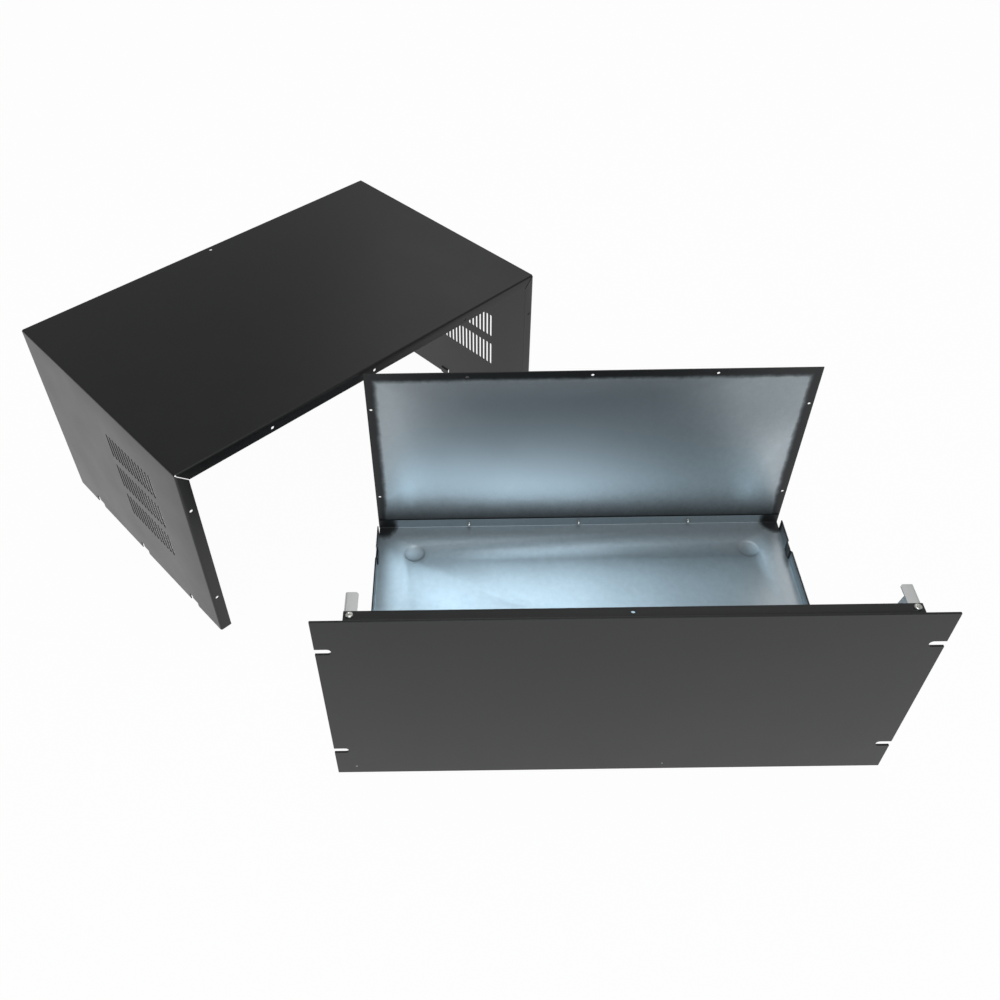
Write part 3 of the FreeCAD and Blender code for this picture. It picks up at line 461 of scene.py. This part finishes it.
class Recipe(Board):
    """A geometry node tree with named inputs, and the way to carry it out."""

    def __init__(self, name, **sizes):
        self.tree = bpy.data.node_groups.new(name, "GeometryNodeTree")
        face = self.tree.interface
        face.new_socket("Geometry", in_out="INPUT", socket_type="NodeSocketGeometry")
        face.new_socket("Geometry", in_out="OUTPUT", socket_type="NodeSocketGeometry")
        for label, kind in sizes.items():
            face.new_socket(label, in_out="INPUT", socket_type=kind)
        self.inlet = self.tree.nodes.new("NodeGroupInput")
        self.outlet = self.tree.nodes.new("NodeGroupOutput")

    def size(self, label):
        return Field(self, self.inlet.outputs[label])

    def turned(self, rings, sides=24):
        """A lathe: rings of (radius, height) joined into one closed skin."""
        bands = []
        for number, ((low_r, low_z), (high_r, high_z)) in enumerate(zip(rings, rings[1:])):
            cone = self.node("GeometryNodeMeshCone", {"fill_type": "NONE"},
                             {"Vertices": sides, "Radius Bottom": low_r, "Radius Top": high_r,
                              "Depth": high_z - low_z})
            bands.append(self.moved(cone, self.vector(z=low_z)))
        for (radius, height), turn in ((rings[0], math.pi), (rings[-1], 0.0)):
            disc = self.node("GeometryNodeMeshCircle", {"fill_type": "NGON"},
                             {"Vertices": sides, "Radius": radius})
            bands.append(self.moved(disc, self.vector(z=height), (turn, 0, 0)))
        return self.node("GeometryNodeMergeByDistance",
                         inputs={"Geometry": self.joined(*bands), "Distance": 1e-6})

    def moved(self, shape, place=(0, 0, 0), turn=(0, 0, 0)):
        return self.node("GeometryNodeTransform",
                         inputs={"Geometry": shape, "Translation": place, "Rotation": turn})

    def joined(self, *shapes):
        return self.node("GeometryNodeJoinGeometry", inputs={0: list(shapes)})

    def block(self, size, place=(0, 0, 0), turn=(0, 0, 0)):
        cube = self.node("GeometryNodeMeshCube", inputs={"Size": size})
        return self.moved(cube, place, turn)

    def cut(self, body, *tools, keep_common=False):
        operation = "INTERSECT" if keep_common else "DIFFERENCE"
        made = self.node("GeometryNodeMeshBoolean", {"operation": operation, "solver": "EXACT"})
        node = made.socket.node
        if keep_common:
            self.join([body, *tools], node.inputs["Mesh 2"])
        else:
            self.join(body, node.inputs["Mesh 1"])
            self.join(list(tools), node.inputs["Mesh 2"])
        return made

    def thread(self, radius, pitch, low, high):
        """A ridge wound round a shank."""
        length = high - low
        helix = self.node("GeometryNodeCurveSpiral",
                          inputs={"Resolution": 20, "Rotations": length / pitch,
                                  "Start Radius": radius, "End Radius": radius, "Height": length})
        ridge = self.node("GeometryNodeCurvePrimitiveCircle",
                          inputs={"Resolution": 4, "Radius": pitch * 0.42})
        wound = self.node("GeometryNodeCurveToMesh",
                          inputs={"Curve": helix, "Profile Curve": ridge, "Fill Caps": True})
        return self.moved(wound, self.vector(z=low))

    def finish(self, shape, material):
        """Realise the instances and set the material."""
        real = self.node("GeometryNodeRealizeInstances", inputs={"Geometry": shape})
        coated = self.node("GeometryNodeSetMaterial",
                           inputs={"Geometry": real, "Material": material})
        self.join(coated, self.outlet.inputs["Geometry"])

    def carry_out(self, name, base_mesh, smooth_angle=35, **values):
        """Run the tree on a mesh and keep its result as a plain piece."""
        source = bpy.data.objects.new(name + "_source", base_mesh)
        bpy.context.collection.objects.link(source)
        step = source.modifiers.new("recipe", "NODES")
        step.node_group = self.tree
        for item in self.tree.interface.items_tree:
            if item.in_out == "INPUT" and item.name in values:
                step[item.identifier] = values[item.name]
        evaluated = source.evaluated_get(bpy.context.evaluated_depsgraph_get())
        mesh = bpy.data.meshes.new_from_object(evaluated)
        source.modifiers.clear()
        bpy.data.objects.remove(source)
        mesh.name = name
        mesh.shade_smooth()
        mesh.set_sharp_from_angle(angle=math.radians(smooth_angle))
        piece = bpy.data.objects.new(name, mesh)
        bpy.context.collection.objects.link(piece)
        print(name, len(mesh.vertices), "vertices", len(mesh.polygons), "faces")
        return piece


def seats(*places):
    """A mesh of loose points, one for each copy."""
    mesh = bpy.data.meshes.new("seats")
    mesh.from_pydata([tuple(place) for place in places], [], [])
    return mesh


def copies(recipe, shape, turn):
    """The shape on every seat, turned to lie along its axis."""
    points = recipe.node("GeometryNodeMeshToPoints", inputs={"Mesh": recipe.size("Geometry")})
    return recipe.node("GeometryNodeInstanceOnPoints",
                       inputs={"Points": points, "Instance": shape, "Rotation": turn})


def centre_of(node):
    low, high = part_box(node)
    return (low + high) / 2


# %% [markdown]
# ## Screws
# Pan head machine screws, 3 mm, with a cross recess, in bright zinc plate. Two hold the top
# strip to the gussets and three come through the rear panel into the base's rear flange. The
# head is turned from a few rings of points, as on a lathe, and the recess is two crossed bars
# cut out of it. The thread is a ridge that follows a spiral round the shank.

# %% Screws
screw = Recipe("pan_head_screw", **{"Shank Radius": FLOAT, "Head Radius": FLOAT,
                                    "Head Height": FLOAT, "Length": FLOAT, "Turn": VECTOR})
head_radius, head_height = screw.size("Head Radius"), screw.size("Head Height")
shank, length = screw.size("Shank Radius"), screw.size("Length")
head = screw.turned([
    (shank, 0.0), (head_radius * 0.97, 0.0), (head_radius, head_height * 0.10),
    (head_radius, head_height * 0.42), (head_radius * 0.95, head_height * 0.68),
    (head_radius * 0.84, head_height * 0.87), (head_radius * 0.68, head_height * 0.97),
    (head_radius * 0.50, head_height)], sides=32)
bar = screw.vector(head_radius * 1.12, head_radius * 0.25, head_height * 1.1)
recess_place = screw.vector(z=head_height)
head = screw.cut(head, screw.block(bar, recess_place),
                 screw.block(bar, recess_place, (0, 0, math.pi / 2)))
body = screw.turned([(shank * 0.55, -length), (shank * 0.88, -length + shank * 0.35),
                     (shank * 0.88, -0.0001), (shank, 0.0)], sides=20)
ridge = screw.thread(shank * 0.86, 0.0005, -length + shank * 0.4, -0.0002)
screw.finish(copies(screw, screw.joined(head, body, ridge), screw.size("Turn")), plated_steel)


def screws(name, nodes, axis, turn, length):
    """Seats are where the underside of each head lies."""
    places = []
    for node in nodes:
        low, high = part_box(node)
        place = (low + high) / 2
        place[axis] = high[axis] - SCREW_HEAD_HEIGHT
        places.append(place)
    piece = screw.carry_out(name, seats(*places), **{
        "Shank Radius": SCREW_RADIUS, "Head Radius": SCREW_HEAD_RADIUS,
        "Head Height": SCREW_HEAD_HEIGHT,
        "Length": length, "Turn": turn})
    settle(piece, *nodes)


def settle(piece, *nodes, slot="zinc_plate"):
    """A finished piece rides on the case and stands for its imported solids."""
    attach(piece, "root")
    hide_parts(*nodes)


SCREW_RADIUS, SCREW_HEAD_RADIUS, SCREW_HEAD_HEIGHT = 0.0015, 0.0029, 0.0019
STRIP_SCREW_LENGTH, REAR_SCREW_LENGTH = 0.0060, 0.0064
HEADS_UP = (0, 0, math.radians(20))
HEADS_BACK = (-math.pi / 2, 0, 0)
screws("strip_screws", ["strip_screw_left", "strip_screw_right"], 2,
       HEADS_UP, STRIP_SCREW_LENGTH)
screws("rear_screws", ["rear_screw_left", "rear_screw_middle", "rear_screw_right"], 1,
       HEADS_BACK, REAR_SCREW_LENGTH)

# %% [markdown]
# ## Rivets, studs and nuts
# Blind rivets fix the gussets' feet to the floor: a domed head with the broken mandrel in its
# middle. Welded studs on the front plate come through the base's front wall, and a hexagon nut
# on each holds the two together. A nut is a six sided bar with its corners turned off, so it is
# made as one is: the bar and a chamfered disc, keeping only what both of them fill.

# %% Rivets
rivet = Recipe("blind_rivet", **{"Shank Radius": FLOAT, "Head Radius": FLOAT,
                                 "Head Height": FLOAT, "Grip": FLOAT})
shank, head_radius = rivet.size("Shank Radius"), rivet.size("Head Radius")
head_height, grip = rivet.size("Head Height"), rivet.size("Grip")
rivet_body = rivet.turned([
    (shank * 0.80, -grip - head_height), (shank * 1.55, -grip - head_height * 0.75),
    (head_radius * 0.97, -grip - head_height * 0.2), (head_radius * 0.97, -grip), (shank, -grip),
    (shank, 0.0), (head_radius, 0.0), (head_radius, head_height * 0.22),
    (head_radius * 0.88, head_height * 0.58), (head_radius * 0.66, head_height * 0.86),
    (head_radius * 0.42, head_height), (head_radius * 0.30, head_height * 0.96),
    (head_radius * 0.27, head_height * 0.45), (head_radius * 0.20, head_height * 0.62)], sides=28)
rivet.finish(copies(rivet, rivet_body, (0, 0, 0)), plated_steel)
RIVET_NODES = [f"gusset_rivet_{side}_{end}"
               for side in ("left", "right") for end in ("front", "rear")]
RIVET_RADIUS, RIVET_HEAD_RADIUS, RIVET_HEAD_HEIGHT, RIVET_GRIP = 0.0016, 0.0031, 0.0009, 0.0024
rivet_places = []
for node in RIVET_NODES:
    place = centre_of(node)
    place.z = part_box(node)[1].z - RIVET_HEAD_HEIGHT
    rivet_places.append(place)
rivets = rivet.carry_out("gusset_rivets", seats(*rivet_places), **{
    "Shank Radius": RIVET_RADIUS, "Head Radius": RIVET_HEAD_RADIUS,
    "Head Height": RIVET_HEAD_HEIGHT, "Grip": RIVET_GRIP})
settle(rivets, *RIVET_NODES)

# %% Studs and nuts
stud = Recipe("welded_stud", **{"Radius": FLOAT, "Length": FLOAT})
radius, length = stud.size("Radius"), stud.size("Length")
stud_body = stud.turned([(radius * 0.99, 0.0), (radius * 0.90, 0.0003),
                         (radius * 0.90, length - radius * 0.3), (radius * 0.62, length)], sides=24)
stud_ridge = stud.thread(radius * 0.86, 0.0007, 0.0006, length - radius * 0.45)
stud.finish(copies(stud, stud.joined(stud_body, stud_ridge), (-math.pi / 2, 0, 0)), plated_steel)

nut = Recipe("hexagon_nut", **{"Across Flats": FLOAT, "Height": FLOAT, "Bore Radius": FLOAT})
flats, height, bore = nut.size("Across Flats"), nut.size("Height"), nut.size("Bore Radius")
corner = flats * (1 / math.sqrt(3))
bar = nut.turned([(corner, 0.0), (corner, height)], sides=6)
disc = nut.turned([(flats * 0.47, 0.0), (corner * 1.02, height * 0.16),
                   (corner * 1.02, height * 0.84), (flats * 0.47, height)], sides=36)
hole = nut.turned([(bore, -0.001), (bore, height + 0.001)], sides=28)
nut_body = nut.cut(nut.cut(bar, disc, keep_common=True), hole)
nut.finish(copies(nut, nut_body, (-math.pi / 2, 0, 0)), plated_steel)

SPOTS = [f"{side}_{level}" for side in ("left", "right") for level in ("lower", "upper")]


def front_seats(kind):
    """Where the studs or nuts begin, on their front faces."""
    places = []
    for spot in SPOTS:
        place = centre_of(f"panel_{kind}_{spot}")
        place.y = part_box(f"panel_{kind}_{spot}")[0].y
        places.append(place)
    return seats(*places)


studs = stud.carry_out("panel_studs", front_seats("stud"), **{"Radius": 0.0020, "Length": 0.0080})
settle(studs, *[f"panel_stud_{spot}" for spot in SPOTS])
nuts = nut.carry_out("panel_nuts", front_seats("nut"), **{
    "Across Flats": 0.0070, "Height": 0.0032, "Bore Radius": 0.00205})
settle(nuts, *[f"panel_nut_{spot}" for spot in SPOTS])

# %% [markdown]
# ## Cover
# One sheet, 1 mm thick, folded into a top, two sides and three narrow flanges round the open
# back. A folded sheet follows a rule: flat, arc, flat. So the outer skin is laid out in the
# place where it fits on the base, as strips that share their edges, and a Solidify modifier
# gives it the sheet's thickness inwards. It is turned to the place where it stands only at the
# end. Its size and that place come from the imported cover's box.

# %% Cover's size and place
COVER_LOW, COVER_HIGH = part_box("cover")
COVER_TURN = math.radians(222.77)
plan = COVER_HIGH - COVER_LOW
across, along = abs(math.cos(COVER_TURN)), abs(math.sin(COVER_TURN))
COVER_WIDE = (plan.x * across - plan.y * along) / (across ** 2 - along ** 2)
COVER_DEEP = (plan.y * across - plan.x * along) / (across ** 2 - along ** 2)
COVER_TALL = COVER_HIGH.z
COVER_FRONT = 0.0003
COVER_REAR = COVER_FRONT + COVER_DEEP
COVER_SHEET, COVER_FOLD, COVER_FLANGE, MITRE = 0.0010, 0.0020, 0.0120, 0.0010
half = COVER_WIDE / 2
cover_middle = (COVER_LOW + COVER_HIGH) / 2
stand = (Matrix.Translation((cover_middle.x, cover_middle.y, 0))
         @ Matrix.Rotation(COVER_TURN, 4, "Z")
         @ Matrix.Translation((0, -(COVER_FRONT + COVER_REAR) / 2, 0)))
print("cover", [round(size / MM, 2) for size in (COVER_WIDE, COVER_DEEP, COVER_TALL)], "mm")

# %% Cover's folded skin
FOLD_STEPS = 6


def fold_arc():
    """A quarter turn from 0, 0 that starts flat and ends upright: how far along and how far in."""
    for step in range(FOLD_STEPS + 1):
        turn = math.pi / 2 * step / FOLD_STEPS
        yield COVER_FOLD * math.sin(turn), COVER_FOLD * (1 - math.cos(turn))


def strip_of(skin, *lines):
    """Faces between lines of equally many points."""
    rows = [[skin.verts.new(point) for point in line] for line in lines]
    for low, high in zip(rows, rows[1:]):
        for a, b, c, d in zip(low, low[1:], high[1:], high):
            skin.faces.new((a, b, c, d))


def cover_skin():
    skin = bmesh.new()
    section = [(-half, 0.0)]
    section += [(-half + inward, COVER_TALL - COVER_FOLD + run) for run, inward in fold_arc()]
    section += [(-x, z) for x, z in reversed(section)]
    rear_fold = COVER_REAR - COVER_FOLD
    strip_of(skin, *([(x, y, z) for x, z in section] for y in (COVER_FRONT, rear_fold)))

    slit = MITRE / math.sqrt(2)
    flange_rows = [(rear_fold + run, inward) for run, inward in fold_arc()]
    flange_rows.append((COVER_REAR, COVER_FLANGE))
    top = []
    for y, down in flange_rows:
        reach = half - max(COVER_FOLD, down + slit)
        top.append([(-reach, y, COVER_TALL - down), (reach, y, COVER_TALL - down)])
    strip_of(skin, *top)
    for side in (-1, 1):
        wall = []
        for y, inward in flange_rows:
            reach = COVER_TALL - max(COVER_FOLD, inward + slit)
            wall.append([(side * (half - inward), y, 0.0), (side * (half - inward), y, reach)])
        strip_of(skin, *(wall if side < 0 else [row[::-1] for row in wall]))
    bmesh.ops.remove_doubles(skin, verts=skin.verts, dist=1e-6)
    bmesh.ops.recalc_face_normals(skin, faces=skin.faces)
    skin.faces.ensure_lookup_table()
    roof = max(skin.faces, key=lambda face: face.calc_area() * abs(face.normal.z))
    if roof.normal.z < 0:
        bmesh.ops.reverse_faces(skin, faces=skin.faces)
    mesh = bpy.data.meshes.new("cover_skin")
    skin.to_mesh(mesh)
    skin.free()
    return mesh


def thickened(mesh, thickness):
    """The skin with its sheet's thickness, as a plain mesh."""
    sheet = bpy.data.objects.new("thickened", mesh)
    bpy.context.collection.objects.link(sheet)
    wall = sheet.modifiers.new("sheet", "SOLIDIFY")
    wall.thickness, wall.offset = thickness, -1
    wall.use_even_offset = True
    solid = bpy.data.meshes.new_from_object(
        sheet.evaluated_get(bpy.context.evaluated_depsgraph_get()))
    bpy.data.objects.remove(sheet)
    return solid


cover_sheet = thickened(cover_skin(), COVER_SHEET)
print("cover sheet", len(cover_sheet.vertices), "vertices")

# %% [markdown]
# ## Vents, holes and tongues
# A press punches the vents: upright slots with round ends, fourteen in a row and three rows, at
# the same place in both sides. The tree sets one long slotted bar on every point of a grid,
# takes all of them out of the sheet at once, and does the same with pins for the screw holes.
# Near the bottom edge, short tongues are set inwards between two slits, to catch in the base.

# %% Vent and hole recipe
punch = Recipe("punched_sheet", **{
    "Columns": WHOLE, "Rows": WHOLE, "Pitch": FLOAT, "Row Pitch": FLOAT, "Slot Width": FLOAT,
    "Slot Length": FLOAT, "First Slot": VECTOR, "Reach": FLOAT})
columns, rows = punch.size("Columns"), punch.size("Rows")
pitch, row_pitch = punch.size("Pitch"), punch.size("Row Pitch")
slot_width, slot_length = punch.size("Slot Width"), punch.size("Slot Length")
outline = punch.node("GeometryNodeCurvePrimitiveQuadrilateral",
                     inputs={"Width": slot_length, "Height": slot_width})
outline = punch.node("GeometryNodeFilletCurve", {"mode": "POLY"},
                     {"Curve": outline, "Count": 5, "Radius": slot_width * 0.499})
rail = punch.node("GeometryNodeCurvePrimitiveLine", {"mode": "POINTS"},
                  {"Start": punch.vector(z=-punch.size("Reach")),
                   "End": punch.vector(z=punch.size("Reach"))})
bar = punch.node("GeometryNodeCurveToMesh",
                 inputs={"Curve": rail, "Profile Curve": outline, "Fill Caps": True})
grid = punch.node("GeometryNodeMeshGrid", inputs={
    "Size X": (rows - 1) * row_pitch, "Size Y": (columns - 1) * pitch,
    "Vertices X": rows, "Vertices Y": columns})
grid = punch.moved(grid, punch.vector((rows - 1) * row_pitch * 0.5, (columns - 1) * pitch * 0.5))
bars = punch.node("GeometryNodeInstanceOnPoints", inputs={"Points": grid, "Instance": bar})
bars = punch.moved(bars, punch.size("First Slot"), (0, math.pi / 2, 0))
bars = punch.node("GeometryNodeRealizeInstances", inputs={"Geometry": bars})
punch.finish(punch.cut(punch.size("Geometry"), bars), cover_paint)

# %% Punch the cover
cover = punch.carry_out("cover_shell", cover_sheet, **{
    "Columns": 14, "Rows": 3, "Pitch": 0.00605, "Row Pitch": 0.0412, "Slot Width": 0.0030,
    "Slot Length": 0.0305, "First Slot": (0.0, COVER_FRONT + 0.1509, COVER_TALL - 0.0593),
    "Reach": half + 0.01})


# %% Holes and tongues
def pins(places, radius, reach, sides=24):
    """A mesh of pins, each along its own axis."""
    tools = bmesh.new()
    for place, axis in places:
        turn = Vector((0, 0, 1)).rotation_difference(Vector(axis)).to_matrix().to_4x4()
        bmesh.ops.create_cone(tools, cap_ends=True, segments=sides, radius1=radius, radius2=radius,
                              depth=reach, matrix=Matrix.Translation(place) @ turn)
    return tools


def cut_out(piece, tools):
    mesh = bpy.data.meshes.new("tools")
    tools.to_mesh(mesh)
    tools.free()
    tool = bpy.data.objects.new("tools", mesh)
    bpy.context.collection.objects.link(tool)
    step = piece.modifiers.new("cut", "BOOLEAN")
    step.operation, step.solver, step.object = "DIFFERENCE", "EXACT", tool
    result = bpy.data.meshes.new_from_object(
        piece.evaluated_get(bpy.context.evaluated_depsgraph_get()))
    piece.modifiers.clear()
    bpy.data.objects.remove(tool)
    piece.data = result


FLOOR_UNDER, SCREW_HOLE = 0.0012, 0.0017
REAR_HOLE_ACROSS, FIXING_SPACING = REAR_HIGH.x - 0.0041, 0.1205
hole_places = [((0.0, 0.0058, COVER_TALL), (0, 0, 1))]
for x in (-FIXING_SPACING, 0.0, FIXING_SPACING):
    hole_places.append(((x, COVER_REAR, REAR_HIGH.z - 0.0052 - FLOOR_UNDER), (0, 1, 0)))
for x in (-REAR_HOLE_ACROSS, REAR_HOLE_ACROSS):
    for z in (0.0485, REAR_HIGH.z - 0.0455 - FLOOR_UNDER):
        hole_places.append(((x, COVER_REAR, z), (0, 1, 0)))
cut_out(cover, pins(hole_places, SCREW_HOLE, 0.004))

CATCH_MIDDLES = [BASE_HIGH.y / 2 + step * 0.0985 for step in (-1, 0, 1)]
TONGUE_WIDE, TONGUE_TALL, TONGUE_SLIT, TONGUE_SLOPE, TONGUE_IN = 0.012, 0.009, 0.001, 0.002, 0.0015
openings = bmesh.new()
for side in (-1, 1):
    for y in CATCH_MIDDLES:
        size = Matrix.Diagonal((0.004, TONGUE_WIDE + 2 * TONGUE_SLIT, 2 * TONGUE_TALL, 1))
        bmesh.ops.create_cube(openings, size=1.0,
                              matrix=Matrix.Translation((side * half, y, 0)) @ size)
cut_out(cover, openings)

tongues = bmesh.new()
for side in (-1, 1):
    for y in CATCH_MIDDLES:
        root = TONGUE_TALL - TONGUE_SLOPE
        outer = [(half, TONGUE_TALL), (half - TONGUE_IN, root), (half - TONGUE_IN, 0.0)]
        ring = outer + [(x - COVER_SHEET, z) for x, z in reversed(outer)]
        front, back = (
            [tongues.verts.new((side * x, y + end * TONGUE_WIDE / 2, z)) for x, z in ring]
            for end in (-1, 1))
        tongues.faces.new(front)
        tongues.faces.new(back[::-1])
        for k in range(len(ring)):
            n = (k + 1) % len(ring)
            tongues.faces.new((front[n], front[k], back[k], back[n]))
bmesh.ops.recalc_face_normals(tongues, faces=tongues.faces)
whole = bmesh.new()
whole.from_mesh(cover.data)
loose = bpy.data.meshes.new("tongues")
tongues.to_mesh(loose)
tongues.free()
whole.from_mesh(loose)
bmesh.ops.remove_doubles(whole, verts=whole.verts, dist=1e-5)
for face in whole.faces:
    face.material_index = 0
    face.smooth = True
whole.to_mesh(cover.data)
whole.free()
print("cover inside", paint_skin(cover.data, Vector((0, 0.15, COVER_TALL - COVER_SHEET)),
                                 Vector((0, 0, -1)), 1))
cover.data.transform(stand)
cover.data.materials.clear()
finish_sheet(cover, "cover", "cover_paint", cover_paint, cover_inside)

# %% [markdown]
# ## Floor
# A white table. To the camera and in reflections it is nearly all plain white, and to the lamps
# it is a matt sheet. Brighter lamps would whiten it too, but they would wash out the paint. A
# small share of the lit sheet is left in, so that the case's shadow stays on it.

# %% Floor
FLOOR_REACH, FLOOR_LEVEL = 6.0, -0.0003
WHITE_SHARE = 0.97


def floor_sheet():
    mesh = bpy.data.meshes.new("floor")
    corners = ((-1, -1), (1, -1), (1, 1), (-1, 1))
    mesh.from_pydata([(x * FLOOR_REACH, y * FLOOR_REACH, FLOOR_LEVEL) for x, y in corners],
                     [], [(0, 1, 2, 3)])
    floor = bpy.data.objects.new("floor", mesh)
    bpy.context.collection.objects.link(floor)
    white = Finish("floor_white", Base_Color=(0.8, 0.8, 0.8, 1), Roughness=0.9)
    path = white.tree.nodes.new("ShaderNodeLightPath")
    seen = Field(white, path.outputs["Is Camera Ray"]).most(
        Field(white, path.outputs["Is Glossy Ray"])).most(
        Field(white, path.outputs["Is Transmission Ray"]))
    glow = white.node("ShaderNodeEmission", inputs={"Color": (1, 1, 1, 1), "Strength": 1.0})
    mix = white.node("ShaderNodeMixShader",
                     inputs={0: seen * WHITE_SHARE, 1: Field(white, white.shader.outputs[0]),
                             2: glow})
    white.join(mix, white.tree.nodes["Material Output"].inputs["Surface"])
    mesh.materials.append(white.material)
    return floor


floor = floor_sheet()

# %% [markdown]
# ## Lamps
# A dim room and four soft lamps. The small key and the wide front lamp light the bare metal
# inside, which mirrors what stands in front of it. The top lamp draws bright lines along the
# folds, and the back lamp lights the cover's walls. One large lamp would be simpler, but the
# metal would then be evenly grey.

# %% World and lamps
ROOM_LEVEL = 0.36
world = bpy.data.worlds.new("studio")
bpy.context.scene.world = world
world.use_nodes = True
world.node_tree.nodes["Background"].inputs["Color"].default_value = (1, 1, 1, 1)
world.node_tree.nodes["Background"].inputs["Strength"].default_value = ROOM_LEVEL


WHITE_LIGHT, COOL_LIGHT, COLD_LIGHT = (1, 1, 1), (0.88, 0.96, 1.0), (0.76, 0.91, 1.0)
CASE_MIDDLE = (0.0, 0.2, 0.1)
BETWEEN_THE_TWO = (-0.1, 0.3, 0.1)


def lamp(name, place, aim, size, power, colour=WHITE_LIGHT):
    light = bpy.data.lights.new(name, "AREA")
    light.shape = "RECTANGLE"
    light.size, light.size_y = size
    light.energy = power
    light.color = colour
    body = bpy.data.objects.new(name, light)
    bpy.context.collection.objects.link(body)
    body.location = place
    body.rotation_euler = (Vector(aim) - Vector(place)).to_track_quat("-Z", "Y").to_euler()


lamp("key", (-0.02, -0.86, 1.24), (-0.08, 0.20, 0.1), (0.30, 0.30), 4.5, COLD_LIGHT)
lamp("front", (-0.2, -2.0, 1.9), CASE_MIDDLE, (2.4, 1.4), 13, COOL_LIGHT)
lamp("top", (-0.1, 0.3, 2.2), (-0.1, 0.3, 0.0), (1.0, 1.0), 6)
lamp("back", (0.5, 2.2, 1.9), BETWEEN_THE_TWO, (2.0, 1.2), 5)

# %% [markdown]
# ## View settings
# The plain Standard view keeps every colour as it was written.

# %% View settings
bpy.context.scene.view_settings.view_transform = "Standard"
